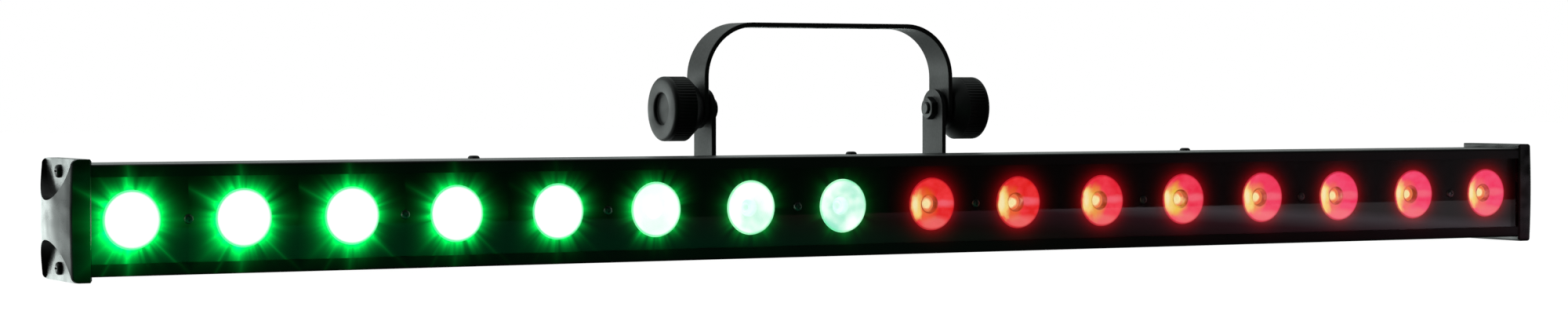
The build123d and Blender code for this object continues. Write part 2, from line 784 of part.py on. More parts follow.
with BuildPart() as ear_right:
    with BuildSketch(Plane.YZ.offset(ear_inner_x)):
        with Locations((pivot_y, pivot_z)):
            Circle(strap_width / 2)
            Rectangle(strap_width, pivot_z - ear_bottom_z, align=(Align.CENTER, Align.MAX))
            Circle(stud_hole_r, mode=Mode.SUBTRACT)
        with Locations(*[(pivot_y, z) for z in ear_screw_z]):
            Circle(2.6, mode=Mode.SUBTRACT)
    extrude(amount=strap_thickness)
    fillet(faces().sort_by(Axis.X)[-1].outer_wire().edges(), radius=strap_edge_r)
ear_right.part.label = "ear_right"
export_step(ear_right.part, "parts/ear_right.step")

with BuildPart() as ear_left:
    add(mirror(ear_right.part, about=Plane.YZ, mode=Mode.PRIVATE))
ear_left.part.label = "ear_left"
export_step(ear_left.part, "parts/ear_left.step")

ear_screw = pan_screw(2.4, 9.2, 4.6, 1.9)

with BuildPart() as ear_screws:
    for side in (-1, 1):
        seats = [(side * (ear_inner_x + strap_thickness), pivot_y, z) for z in ear_screw_z]
        with Locations(*facing((side, 0, 0), seats)):
            add(ear_screw)
ear_screws.part.label = "ear_screws"
export_step(ear_screws.part, "parts/ear_screws.step")

with BuildPart() as ear_nuts:
    for side in (-1, 1):
        seats = [(side * (box_half_width - box_sheet), pivot_y, z) for z in ear_screw_z]
        with BuildSketch(*facing((-side, 0, 0), seats)):
            RegularPolygon(4.0, 6, major_radius=False)
            Circle(2.4, mode=Mode.SUBTRACT)
        extrude(amount=4.0)
ear_nuts.part.label = "ear_nuts"
export_step(ear_nuts.part, "parts/ear_nuts.step")

# The weld nuts and the spacers sit on the tilt axis, on either side of each ear.
with BuildPart() as weld_nuts:
    for side in (-1, 1):
        with BuildSketch(Plane(origin=(side * ear_inner_x, pivot_y, pivot_z), z_dir=(-side, 0, 0))):
            RegularPolygon(nut_flats / 2, 6, major_radius=False)
        extrude(amount=nut_thickness)
    # Turned chamfer on the nuts' corners
    with BuildSketch(Plane.XY.offset(pivot_z)):
        with BuildLine():
            Polyline(
                (ear_inner_x - nut_thickness, pivot_y),
                (ear_inner_x - nut_thickness, pivot_y + nut_flats / 2),
                (ear_inner_x - nut_thickness + 1.2, pivot_y + nut_flats / 2 + 1.8),
                (ear_inner_x, pivot_y + nut_flats / 2 + 1.8),
                (ear_inner_x, pivot_y),
                close=True,
            )
        make_face()
        mirror(about=Plane.YZ)
    revolve(axis=Axis((0, pivot_y, pivot_z), (1, 0, 0)), mode=Mode.INTERSECT)
    with Locations(*facing((1, 0, 0), [(ear_inner_x, pivot_y, pivot_z)])):
        Hole(nut_bore_r, depth=2 * ear_inner_x)
weld_nuts.part.label = "weld_nuts"
export_step(weld_nuts.part, "parts/weld_nuts.step")

ear_outer_x = ear_inner_x + strap_thickness
spacer_ring = washer_ring(stud_hole_r, 10.0, ear_outer_x, spacer_thickness)

with BuildPart() as spacers:
    add(spacer_ring)
    add(mirror(spacer_ring, about=Plane.YZ, mode=Mode.PRIVATE))
spacers.part.label = "spacers"
export_step(spacers.part, "parts/spacers.step")

# ------------------------------------------------------------------------- yoke

def along_strap(edge):
    """True for the yoke's long outer and inner edges, on the strap's two sides."""
    return abs(abs(edge.center().Y - pivot_y) - strap_width / 2) < 0.01


with BuildPart() as yoke:
    with BuildSketch(Plane.XZ.offset(-(pivot_y + strap_width / 2))):
        with BuildLine():
            Polyline(
                (yoke_outer_x, pivot_z),
                (yoke_outer_x, yoke_top),
                (-yoke_outer_x, yoke_top),
                (-yoke_outer_x, pivot_z),
                (-yoke_inner_x, pivot_z),
                (-yoke_inner_x, yoke_top - strap_thickness),
                (yoke_inner_x, yoke_top - strap_thickness),
                (yoke_inner_x, pivot_z),
                close=True,
            )
        make_face()
        fillet(vertices().group_by(Axis.Y)[1], radius=yoke_bend_r - strap_thickness)
        fillet(vertices().group_by(Axis.Y)[-1], radius=yoke_bend_r)
    extrude(amount=strap_width)
    for leg_x in (-yoke_outer_x, yoke_inner_x):
        with BuildSketch(Plane.YZ.offset(leg_x)):
            with Locations((pivot_y, pivot_z)):
                Circle(strap_width / 2)
        extrude(amount=strap_thickness)
    fillet(edges().filter_by(along_strap), radius=strap_edge_r)
    with Locations(*facing((1, 0, 0), [(yoke_outer_x, pivot_y, pivot_z)])):
        Hole(stud_hole_r, depth=2 * yoke_outer_x)
    crossbar_holes = [(x, pivot_y, yoke_top) for x in (-yoke_hole_spacing, 0, yoke_hole_spacing)]
    with Locations(*facing((0, 0, 1), crossbar_holes)):
        Hole(yoke_hole_r, depth=strap_thickness)
yoke.part.label = "yoke"
export_step(yoke.part, "parts/yoke.step")

# ------------------------------------------------------------------------- knobs, studs and washers

# The knob's profile is drawn as distance along the tilt axis against radius, from its hub outwards.
with BuildPart() as knob_right:
    with BuildSketch(Plane.XY.offset(pivot_z)):
        with BuildLine():
            Polyline(
                (knob_inner_x, pivot_y + stud_r),
                (knob_inner_x, pivot_y + knob_hub_r),
                (knob_inner_x + 6.3, pivot_y + knob_r - 0.6),
                (knob_inner_x + 7.3, pivot_y + knob_r),
                (knob_outer_x - 2.0, pivot_y + knob_r),
                (knob_outer_x - 0.6, pivot_y + knob_face_r + 0.6),
                (knob_outer_x, pivot_y + knob_face_r),
                (knob_outer_x, pivot_y + knob_recess_r),
                (knob_outer_x - knob_recess_depth, pivot_y + knob_recess_r - 0.4),
                (knob_outer_x - knob_recess_depth, pivot_y),
                (stud_outer_x, pivot_y),
                (stud_outer_x, pivot_y + stud_r),
                close=True,
            )
        make_face()
    revolve(axis=Axis((0, pivot_y, pivot_z), (1, 0, 0)))
knob_right.part.label = "knob_right"
export_step(knob_right.part, "parts/knob_right.step")

with BuildPart() as knob_left:
    add(mirror(knob_right.part, about=Plane.YZ, mode=Mode.PRIVATE))
knob_left.part.label = "knob_left"
export_step(knob_left.part, "parts/knob_left.step")

with BuildPart() as stud_right:
    with BuildSketch(Plane(origin=(stud_inner_x, pivot_y, pivot_z), z_dir=(1, 0, 0))):
        Circle(stud_r)
    extrude(amount=stud_outer_x - stud_inner_x)
    chamfer(faces().sort_by(Axis.X)[0].edges(), length=0.8)
stud_right.part.label = "stud_right"
export_step(stud_right.part, "parts/stud_right.step")

with BuildPart() as stud_left:
    add(mirror(stud_right.part, about=Plane.YZ, mode=Mode.PRIVATE))
stud_left.part.label = "stud_left"
export_step(stud_left.part, "parts/stud_left.step")

washer = washer_ring(stud_r + 0.3, 9.0, yoke_outer_x, washer_thickness)

with BuildPart() as washer_right:
    add(washer)
washer_right.part.label = "washer_right"
export_step(washer_right.part, "parts/washer_right.step")

with BuildPart() as washer_left:
    add(mirror(washer, about=Plane.YZ, mode=Mode.PRIVATE))
washer_left.part.label = "washer_left"
export_step(washer_left.part, "parts/washer_left.step")
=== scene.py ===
"""Looks of the LED strip batten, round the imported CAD: materials, detailed lenses and knobs, studio, camera.
Everything is in metres, in the CAD's own frame: X along the bar, lenses facing -Y, Z up."""
import json
import math

import bmesh
import bpy
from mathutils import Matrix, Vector


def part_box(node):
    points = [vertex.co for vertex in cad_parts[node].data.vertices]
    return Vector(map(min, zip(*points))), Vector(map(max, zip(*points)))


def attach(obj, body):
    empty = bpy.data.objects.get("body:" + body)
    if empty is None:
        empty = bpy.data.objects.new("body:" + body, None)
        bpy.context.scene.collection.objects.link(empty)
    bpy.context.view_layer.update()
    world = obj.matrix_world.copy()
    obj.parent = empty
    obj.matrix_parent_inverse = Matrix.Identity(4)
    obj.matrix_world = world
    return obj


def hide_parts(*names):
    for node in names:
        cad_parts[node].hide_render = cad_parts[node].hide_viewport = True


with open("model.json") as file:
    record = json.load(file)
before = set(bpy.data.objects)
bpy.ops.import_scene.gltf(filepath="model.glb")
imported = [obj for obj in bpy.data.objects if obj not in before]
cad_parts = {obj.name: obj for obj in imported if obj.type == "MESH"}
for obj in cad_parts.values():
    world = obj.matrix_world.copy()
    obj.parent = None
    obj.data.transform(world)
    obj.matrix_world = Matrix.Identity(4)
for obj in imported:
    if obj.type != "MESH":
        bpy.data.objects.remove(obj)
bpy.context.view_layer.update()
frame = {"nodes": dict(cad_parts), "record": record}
NODES = frame["nodes"]
SLOT_OF = {part["node"]: part["material_slot"] for part in frame["record"]["subparts"]}

MM = 0.001

# Measures taken from the frame
LENS_NODES = [f"lens_{number:02d}" for number in range(1, 17)]
GREEN_LENSES = LENS_NODES[:8]
FIRST_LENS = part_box("lens_01")
LENS_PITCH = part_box("lens_02")[0].x - FIRST_LENS[0].x
LENS_Z = (FIRST_LENS[0].z + FIRST_LENS[1].z) / 2
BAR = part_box("housing_extrusion")
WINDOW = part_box("front_window")

# Camera: seen from the left, a little above the bar, and far away
CAMERA_PLACE = Vector((-1.037, -1.787, 0.106))
CAMERA_TURN = math.radians(28.975)
CAMERA_DIP = math.radians(1.19)
CAMERA_LENS = 74.07


# ---------------------------------------------------------------- node helpers

def new_tree(name):
    """An empty node material and its tree."""
    made = bpy.data.materials.new(name)
    made.use_nodes = True
    made.node_tree.nodes.clear()
    return made, made.node_tree


def node(tree, kind, inputs=None, **settings):
    """Adds a node. Inputs are values or sockets, by name or number."""
    made = tree.nodes.new("ShaderNode" + kind)
    for key, value in settings.items():
        setattr(made, key, value)
    for key, value in (inputs or {}).items():
        if isinstance(value, bpy.types.NodeSocket):
            tree.links.new(value, made.inputs[key])
        else:
            made.inputs[key].default_value = value
    return made


def maths(tree, operation, *values):
    """The result of one sum on values or sockets."""
    inputs = dict(enumerate(values))
    return node(tree, "Math", inputs, operation=operation).outputs[0]


def remap(tree, value, low, high, to_low=0.0, to_high=1.0, smooth=False):
    """Carries low..high over to to_low..to_high, held at both ends."""
    kind = "SMOOTHSTEP" if smooth else "LINEAR"
    inputs = {"Value": value, "From Min": low, "From Max": high, "To Min": to_low, "To Max": to_high}
    return node(tree, "MapRange", inputs, interpolation_type=kind).outputs["Result"]


def colour_mix(tree, share, first, second):
    """A blend of two colours, all second where share is 1."""
    made = node(tree, "Mix", data_type="RGBA", blend_type="MIX")
    for socket, value in zip((made.inputs[0], made.inputs[6], made.inputs[7]), (share, first, second)):
        if isinstance(value, bpy.types.NodeSocket):
            tree.links.new(value, socket)
        else:
            socket.default_value = value
    return made.outputs[2]


def tinted(tree, amount, colour):
    """A colour times an amount, which may be more than one."""
    return node(tree, "VectorMath", {0: colour[:3], "Scale": amount}, operation="SCALE").outputs[0]


def place(tree):
    """Coordinates on the piece, in metres."""
    return node(tree, "TexCoord").outputs["Object"]


def noise(tree, scale, detail=3.0, rough=0.55, at=None, stretch=None):
    """A noise from 0 to 1. Scale is in waves per metre, stretched by axis where asked."""
    at = at or place(tree)
    if stretch:
        at = node(tree, "Mapping", {"Vector": at, "Scale": stretch}).outputs[0]
    inputs = {"Vector": at, "Scale": scale, "Detail": detail, "Roughness": rough}
    return node(tree, "TexNoise", inputs).outputs["Fac"]


def bump(tree, height, distance, normal=None):
    """A normal from heights of 0 to 1 that stand for a distance in metres, on top of another where given."""
    inputs = {"Height": height, "Distance": distance, "Strength": 1.0}
    if normal:
        inputs["Normal"] = normal
    return node(tree, "Bump", inputs).outputs[0]


def surface(tree, **inputs):
    """The Principled surface at the end of a material. Underscores in names stand for spaces."""
    named = {key.replace("_", " "): value for key, value in inputs.items()}
    made = node(tree, "BsdfPrincipled", named)
    node(tree, "OutputMaterial", {"Surface": made.outputs[0]})
    return made


def grey(value, red=1.0, green=1.0, blue=1.0):
    return (value * red, value * green, value * blue, 1.0)


def shade(colour, times):
    """A colour made lighter or darker."""
    return tuple(min(1.0, part * times) for part in colour[:3]) + (1.0,)


# ---------------------------------------------------------------- materials

def add_painted_glow(tree, made_surface, lit_front, share):
    """Adds a share of the lamps' spill, painted on as emission, to those surfaces that lie in front of
    lit_front.
    """
    depth = node(tree, "SeparateXYZ", {0: place(tree)}).outputs[1]
    in_front = maths(tree, "LESS_THAN", depth, lit_front)
    tree.links.new(painted_lamp_glow(tree), made_surface.inputs["Emission Color"])
    tree.links.new(maths(tree, "MULTIPLY", in_front, share), made_surface.inputs["Emission Strength"])


def coating(name, colour, rough, peel=0.05, gloss_index=1.5, lit_front=None):
    """Baked powder paint: a fine orange peel, a slow change in gloss, and faint handling marks. Given
    lit_front, it also gets painted lamp glow in front of it.
    """
    made, tree = new_tree(name)
    peel_height = noise(tree, 1400, 4)
    slow = noise(tree, 24, 2)
    rubbed = remap(tree, noise(tree, 210, 5, 0.7), 0.62, 0.78, smooth=True)
    gloss = maths(tree, "ADD", remap(tree, slow, 0.3, 0.7, rough - 0.05, rough + 0.05),
                  maths(tree, "MULTIPLY", rubbed, 0.08))
    speckle = remap(tree, noise(tree, 600, 3), 0.35, 0.65)
    tint = colour_mix(tree, speckle, shade(colour, 0.75), shade(colour, 1.25))
    paint = surface(tree, Base_Color=tint, Roughness=gloss, IOR=gloss_index,
                    Normal=bump(tree, peel_height, peel * MM))
    # Painted lamp glow, as emission, on the surfaces in front of lit_front.
    if lit_front is not None:
        add_painted_glow(tree, paint, lit_front, 0.3)
    return made


def moulding(name, colour, rough, gloss_index=1.52, sink=0.0, lit_front=None):
    """Moulded plastic with a fine spark-eroded texture, shallow sink marks and slightly uneven gloss. Given
    lit_front, it also gets painted lamp glow in front of it.
    """
    made, tree = new_tree(name)
    grain = noise(tree, 2200, 3, 0.6)
    flow = noise(tree, 30, 2, stretch=(1, 1, 3))
    gloss = remap(tree, flow, 0.3, 0.7, rough - 0.04, rough + 0.06)
    tint = colour_mix(tree, remap(tree, grain, 0.3, 0.7), colour, shade(colour, 1.2))
    sunk = bump(tree, noise(tree, 70, 0.5), sink * MM)
    plastic = surface(tree, Base_Color=tint, Roughness=gloss, IOR=gloss_index,
                      Normal=bump(tree, grain, 0.03 * MM, normal=sunk))
    # Painted lamp glow, as emission, on the surfaces in front of lit_front.
    if lit_front is not None:
        add_painted_glow(tree, plastic, lit_front, 0.7)
    return made


def turned_metal(name, colour, rough, stretch=(1, 1, 12)):
    """Plated metal with fine turning or rolling lines and a little staining."""
    made, tree = new_tree(name)
    lines = noise(tree, 500, 4, 0.6, stretch=stretch)
    stain = remap(tree, noise(tree, 160, 4), 0.45, 0.75, smooth=True)
    tint = colour_mix(tree, maths(tree, "MULTIPLY", stain, 0.6), colour, shade(colour, 0.55))
    gloss = maths(tree, "ADD", remap(tree, lines, 0.3, 0.7, rough - 0.06, rough + 0.08),
                  maths(tree, "MULTIPLY", stain, 0.15))
    surface(tree, Base_Color=tint, Metallic=1.0, Roughness=gloss, Normal=bump(tree, lines, 0.02 * MM))
    return made


def rubber(name, colour):
    """Dull moulded rubber with fine pores."""
    made, tree = new_tree(name)
    pores = noise(tree, 1800, 3)
    surface(tree, Base_Color=colour, Roughness=remap(tree, pores, 0.3, 0.7, 0.65, 0.85),
            Normal=bump(tree, pores, 0.05 * MM))
    return made


def clear_window(name):
    """Thin clear acrylic: it lets the lamps through and mirrors its surroundings more at a grazing angle."""
    made, tree = new_tree(name)
    scuff = remap(tree, noise(tree, 90, 5, 0.65), 0.55, 0.8, smooth=True)
    gloss = node(tree, "BsdfGlossy", {"Color": grey(1.0),
                                      "Roughness": remap(tree, scuff, 0, 1, 0.012, 0.05)})
    through = node(tree, "BsdfTransparent", {"Color": grey(0.97)})
    grazing = node(tree, "LayerWeight", {"Blend": 0.5}).outputs["Facing"]
    share = remap(tree, maths(tree, "POWER", grazing, 5.0), 0.0, 1.0, 0.039, 1.0)
    mixed = node(tree, "MixShader", {0: share, 1: through.outputs[0], 2: gloss.outputs[0]})
    node(tree, "OutputMaterial", {"Surface": mixed.outputs[0]})
    return made


GLOW_EDGE = 16.0 * MM
GREEN_GLOW = (0.0, 1.0, 0.10, 1.0)
RED_GLOW = (0.24, 0.0, 0.003, 1.0)
GREEN_REACH, RED_REACH, WIDE_REACH = 2.6 * MM, 2.9 * MM, 14 * MM
FIRST_LAMP_X = -0.49
# Painted streaks of light round a green lamp: angle in degrees, half width and reach in mm, strength
PAINTED_STREAKS = ((98, 2.0, 7.0, 1.0), (262, 2.2, 7.5, 1.1), (152, 1.6, 6.5, 1.0), (222, 4.5, 6.0, 0.9),
           (188, 2.4, 4.5, 0.5), (60, 2.0, 3.5, 0.4), (316, 0.9, 9.0, 0.35), (18, 1.4, 3.5, 0.3),
           (128, 1.2, 4.0, 0.45), (238, 0.8, 11.0, 0.35), (0, 5.0, 11.0, 0.16), (180, 6.0, 10.0, 0.16))


def painted_lamp_glow(tree):
    """Painted light: the glow the lamps spill on the black surfaces round them, painted on as emission: bright
    and streaked at the first green lamps and fading along the bar, and a narrow dark red round each of the
    other eight."""
    spot = node(tree, "SeparateXYZ", {0: place(tree)})
    along, up = spot.outputs[0], maths(tree, "SUBTRACT", spot.outputs[2], LENS_Z)
    row_end = len(GREEN_LENSES) * LENS_PITCH - 1e-5
    inside = maths(tree, "MINIMUM", maths(tree, "MAXIMUM", along, -row_end), row_end)
    number = maths(tree, "FLOOR", maths(tree, "DIVIDE", inside, LENS_PITCH))
    middle = maths(tree, "MULTIPLY", maths(tree, "ADD", number, 0.5), LENS_PITCH)
    across = maths(tree, "SUBTRACT", along, middle)

    def distance(shift_x, shift_z):
        x = maths(tree, "SUBTRACT", across, shift_x)
        z = maths(tree, "SUBTRACT", up, shift_z)
        return maths(tree, "SQRT", maths(tree, "ADD", maths(tree, "MULTIPLY", x, x),
                                         maths(tree, "MULTIPLY", z, z)))

    def fade(away, reach):
        return maths(tree, "EXPONENT", maths(tree, "DIVIDE", maths(tree, "MAXIMUM", away, 0.0), -reach))

    beyond = maths(tree, "SUBTRACT", distance(-0.8 * MM, -0.6 * MM), GLOW_EDGE)
    angle = maths(tree, "ARCTAN2", up, across)
    turn = node(tree, "CombineXYZ", {0: maths(tree, "COSINE", angle), 1: maths(tree, "SINE", angle),
                                     2: maths(tree, "MULTIPLY", number, 3.7)}).outputs[0]
    uneven = noise(tree, 2.2, 3, 0.6, at=turn)
    rough_edge = remap(tree, noise(tree, 3.4, 2, 0.55, at=turn), 0.36, 0.64, 0.45, 1.8)
    first = remap(tree, middle, FIRST_LAMP_X, -0.30, 1.0, 0.0)
    halo = maths(tree, "MULTIPLY", fade(beyond, GREEN_REACH), remap(tree, uneven, 0.3, 0.7, 0.7, 1.9))
    total = maths(tree, "MULTIPLY", maths(tree, "MULTIPLY", halo, rough_edge),
                  remap(tree, middle, FIRST_LAMP_X, -0.08, 1.5, 0.07))
    streaks = 0.0
    for degrees, width, reach, strength in PAINTED_STREAKS:
        c, s = math.cos(math.radians(degrees)), math.sin(math.radians(degrees))
        ahead = maths(tree, "ADD", maths(tree, "MULTIPLY", across, c), maths(tree, "MULTIPLY", up, s))
        aside = maths(tree, "ABSOLUTE", maths(tree, "SUBTRACT", maths(tree, "MULTIPLY", across, s),
                                              maths(tree, "MULTIPLY", up, c)))
        outward = fade(maths(tree, "SUBTRACT", ahead, GLOW_EDGE), reach * MM)
        beam = maths(tree, "MULTIPLY", fade(aside, width * MM), outward)
        beam = maths(tree, "MULTIPLY", beam, maths(tree, "GREATER_THAN", ahead, 0.0))
        streaks = maths(tree, "ADD", streaks, maths(tree, "MULTIPLY", beam, strength))
    streaks = maths(tree, "MULTIPLY", streaks, remap(tree, middle, FIRST_LAMP_X, -0.20, 1.4, 0.0))
    wide = maths(tree, "MULTIPLY", fade(beyond, WIDE_REACH), remap(tree, first, 0.0, 1.0, 0.003, 0.020))
    amount = maths(tree, "ADD", maths(tree, "ADD", total, streaks), wide)
    green_side = maths(tree, "LESS_THAN", along, 0.0)
    green = tinted(tree, maths(tree, "MULTIPLY", amount, green_side), GREEN_GLOW)

    red_halo = fade(maths(tree, "SUBTRACT", distance(0.0, 0.0), GLOW_EDGE), RED_REACH)
    red_side = maths(tree, "GREATER_THAN", along, 0.0)
    red = tinted(tree, maths(tree, "MULTIPLY", red_halo, red_side), RED_GLOW)
    return node(tree, "VectorMath", {0: green, 1: red}, operation="ADD").outputs[0]


def lens_plate_painted_glow(name):
    """Black moulded plate with the lamps' spill painted on it as glow."""
    made, tree = new_tree(name)
    grain = noise(tree, 1600, 3)
    glow = painted_lamp_glow(tree)
    surface(tree, Base_Color=grey(0.002), Roughness=remap(tree, grain, 0.3, 0.7, 0.3, 0.42),
            Emission_Color=glow, Emission_Strength=1.0, Normal=bump(tree, grain, 0.03 * MM))
    return made


def ring(tree, radius, centre, half_width, soft):
    """1 on a ring round the axis, fading to 0 on both sides."""
    away = maths(tree, "ABSOLUTE", maths(tree, "SUBTRACT", radius, centre))
    return remap(tree, away, half_width + soft, half_width, smooth=True)


def lens_field(tree):
    """Distance from the lens's axis, its place across and up, and its own number, for lens materials."""
    spot = node(tree, "SeparateXYZ", {0: place(tree)})
    across, up = spot.outputs[0], spot.outputs[2]
    radius = maths(tree, "SQRT", maths(tree, "ADD", maths(tree, "MULTIPLY", across, across),
                                       maths(tree, "MULTIPLY", up, up)))
    own = node(tree, "Attribute", attribute_name="variant").outputs["Fac"]
    return across, up, radius, own


# Colours in a red lens: two ends for its red and for its pink ground, then the patches laid over them
RED_GROUND = (0.80, 0.008, 0.006, 1), (0.98, 0.045, 0.055, 1)
PINK_GROUND = (0.98, 0.035, 0.120, 1), (1.0, 0.090, 0.200, 1)
WEDGE_PINK = (1.0, 0.20, 0.26, 1)
LOWER_PINK = (1.0, 0.26, 0.25, 1)
# The three colours below paint a highlight: the chip's image, fixed on the left side of the bowl.
HIGHLIGHT_AMBER = (0.92, 0.58, 0.05, 1)
HIGHLIGHT_GOLD = (1.0, 0.70, 0.20, 1)
HIGHLIGHT_CREAM = (1.0, 0.90, 0.52, 1)
# Painted shade: the dark ring of the well's wall.
WELL_SHADE = (0.30, 0.030, 0.004, 1)
WELL_ORANGE = (0.95, 0.20, 0.07, 1)
CHIP_YELLOW = (1.0, 0.84, 0.42, 1)
RIM_CRIMSON = (0.42, 0.004, 0.012, 1)
WELL_RADIUS = 4.9 * MM
RIPPLE_PITCH = 1.1 * MM


def ripples(tree, radius):
    """The fine rings turned into a lens mould, as a bump."""
    wave = maths(tree, "SINE", maths(tree, "MULTIPLY", radius, 2 * math.pi / RIPPLE_PITCH))
    return bump(tree, wave, 0.02 * MM)


def lit_red_lens(name):
    """Clear collimator lit red with the lamp's own glow. The amber image of the chip at one side of the bowl
    is a painted highlight fixed on the left; the chip also shows in the well.
    """
    made, tree = new_tree(name)
    across, up, radius, own = lens_field(tree)
    drift = node(tree, "TexNoise", {"Vector": place(tree), "W": own, "Scale": 130.0, "Detail": 2.0},
                 noise_dimensions="4D").outputs["Fac"]
    wobble = remap(tree, drift, 0.3, 0.7, -1.0, 1.0)

    def blob(x, z, wide, high, soft, sway=0.0):
        """1 inside an oval, falling to 0 outside it. Its centre and half sizes are in millimetres."""
        dx = maths(tree, "DIVIDE", maths(tree, "SUBTRACT", across, x * MM), wide * MM)
        dz = maths(tree, "DIVIDE", maths(tree, "SUBTRACT", up, z * MM), high * MM)
        span = maths(tree, "SQRT", maths(tree, "ADD", maths(tree, "MULTIPLY", dx, dx),
                                         maths(tree, "MULTIPLY", dz, dz)))
        span = maths(tree, "ADD", span, maths(tree, "MULTIPLY", wobble, sway))
        return remap(tree, span, 1 + soft, 1 - soft, smooth=True)

    pinkness = node(tree, "Attribute", attribute_name="pinkness").outputs["Fac"]
    chip_glare = node(tree, "Attribute", attribute_name="chip_glare").outputs["Fac"]
    redder = colour_mix(tree, remap(tree, drift, 0.3, 0.7), *RED_GROUND)
    pinker = colour_mix(tree, remap(tree, drift, 0.3, 0.7), *PINK_GROUND)
    base = colour_mix(tree, pinkness, redder, pinker)
    wedge = maths(tree, "MULTIPLY", blob(10.0, 0.4, 6, 2.4, 0.6, 0.35), 0.55)
    base = colour_mix(tree, wedge, base, WEDGE_PINK)
    lower = maths(tree, "MULTIPLY", blob(2.0, -12.5, 10, 3.6, 0.6, 0.3), 0.5)
    base = colour_mix(tree, lower, base, LOWER_PINK)
    # Painted highlight: the chip's amber image spread over the left of the bowl.
    painted_glare = maths(tree, "MULTIPLY", blob(-5, -1.0, 9.0, 9.5, 0.4, 0.15), chip_glare)
    base = colour_mix(tree, painted_glare, base, HIGHLIGHT_AMBER)
    # Painted highlight: the chip's gold crescent on the left flank, with a cream core.
    base = colour_mix(tree, blob(-10.4, -0.6, 4.8, 8.6, 0.45, 0.35), base, HIGHLIGHT_GOLD)
    painted_hot_core = maths(tree, "MULTIPLY", blob(-11.6, 0.4, 2.6, 4.6, 0.6, 0.3), 0.8)
    base = colour_mix(tree, painted_hot_core, base, HIGHLIGHT_CREAM)
    # Painted shade: a dark ring at the well's wall, where less of the lamp's light comes out.
    dark = maths(tree, "MULTIPLY", ring(tree, radius, 5.2 * MM, 0.5 * MM, 1.0 * MM),
                 remap(tree, drift, 0.30, 0.62, 0.15, 0.95))
    base = colour_mix(tree, dark, base, WELL_SHADE)
    well = maths(tree, "LESS_THAN", radius, WELL_RADIUS)
    base = colour_mix(tree, maths(tree, "MULTIPLY", well, 0.8), base, WELL_ORANGE)
    base = colour_mix(tree, blob(0.2, -0.2, 3.6, 3.0, 0.4, 0.3), base, CHIP_YELLOW)
    edge = remap(tree, radius, 15.0 * MM, 16.4 * MM, smooth=True)
    base = colour_mix(tree, maths(tree, "MULTIPLY", edge, 0.75), base, RIM_CRIMSON)
    surface(tree, Base_Color=grey(0.02), Roughness=0.16, IOR=1.45, Emission_Color=base,
            Emission_Strength=1.02, Normal=ripples(tree, radius))
    return made


def lit_green_lens(name):
    """The same lens lit green, far brighter than anything near it: white, with a green rim."""
    made, tree = new_tree(name)
    _, _, radius, own = lens_field(tree)
    cloud = node(tree, "TexNoise", {"Vector": place(tree), "W": own, "Scale": 60.0, "Detail": 2.0},
                 noise_dimensions="4D").outputs["Fac"]
    dimness = node(tree, "Attribute", attribute_name="dimness").outputs["Fac"]
    patch = maths(tree, "MULTIPLY", remap(tree, cloud, 0.35, 0.72, smooth=True), dimness)
    face = colour_mix(tree, patch, (1.2, 1.3, 1.2, 1), (0.34, 0.90, 0.66, 1))
    rim = remap(tree, radius, 14.6 * MM, 16.2 * MM, smooth=True)
    rim_share = maths(tree, "MULTIPLY", rim, remap(tree, dimness, 0.0, 1.0, 0.95, 0.55))
    glow = colour_mix(tree, rim_share, face, (0.10, 1.0, 0.38, 1))
    surface(tree, Base_Color=grey(0.3), Roughness=0.16, IOR=1.45, Emission_Color=glow,
            Emission_Strength=1.0, Normal=ripples(tree, radius))
    return made


def lit_chip(name, colour, strength):
    """An emitter's dome over its chip, brightest in the middle."""
    made, tree = new_tree(name)
    grain = noise(tree, 900, 2)
    tint = colour_mix(tree, remap(tree, grain, 0.3, 0.7), colour, grey(1.0))
    surface(tree, Base_Color=grey(0.7), Roughness=0.2, Emission_Color=tint, Emission_Strength=strength)
    return made


def circuit_board(name):
    """Green solder mask with faint copper runs beneath and tinned pads."""
    made, tree = new_tree(name)
    runs = node(tree, "TexBrick", {"Vector": place(tree), "Scale": 120.0, "Mortar Size": 0.06,
                                   "Color1": grey(0.0), "Color2": grey(0.3), "Mortar": grey(1.0)}).outputs[0]
    pads = node(tree, "TexVoronoi", {"Vector": place(tree), "Scale": 260.0}, distance="CHEBYCHEV").outputs[0]
    pad_here = maths(tree, "LESS_THAN", pads, 0.16)
    mask = colour_mix(tree, runs, (0.008, 0.075, 0.03, 1), (0.02, 0.13, 0.05, 1))
    tint = colour_mix(tree, pad_here, mask, (0.62, 0.60, 0.56, 1))
    surface(tree, Base_Color=tint, Metallic=pad_here, Roughness=0.35, Normal=bump(tree, runs, 0.03 * MM))
    return made


def power_module(name):
    """Pressed aluminium can of the power supply, brushed, with a faint tarnish."""
    return turned_metal(name, (0.62, 0.63, 0.65, 1), 0.38, stretch=(14, 1, 1))


def wire_sheath(name):
    """Soft sheathed wires, red and black by turns."""
    made, tree = new_tree(name)
    spot = node(tree, "SeparateXYZ", {0: place(tree)})
    wave = maths(tree, "SINE", maths(tree, "MULTIPLY", spot.outputs[2], 2200.0))
    stripe = maths(tree, "GREATER_THAN", wave, 0.2)
    tint = colour_mix(tree, stripe, (0.35, 0.012, 0.010, 1), (0.02, 0.02, 0.022, 1))
    surface(tree, Base_Color=tint, Roughness=remap(tree, noise(tree, 300), 0.3, 0.7, 0.4, 0.55))
    return made


def display_window(name):
    """Dark red acrylic over an unlit display."""
    made, tree = new_tree(name)
    haze = noise(tree, 120, 4)
    tint = colour_mix(tree, remap(tree, haze, 0.3, 0.7), (0.030, 0.002, 0.002, 1), (0.060, 0.004, 0.003, 1))
    surface(tree, Base_Color=tint, Roughness=remap(tree, haze, 0.3, 0.7, 0.06, 0.14), Coat_Weight=0.6)
    return made


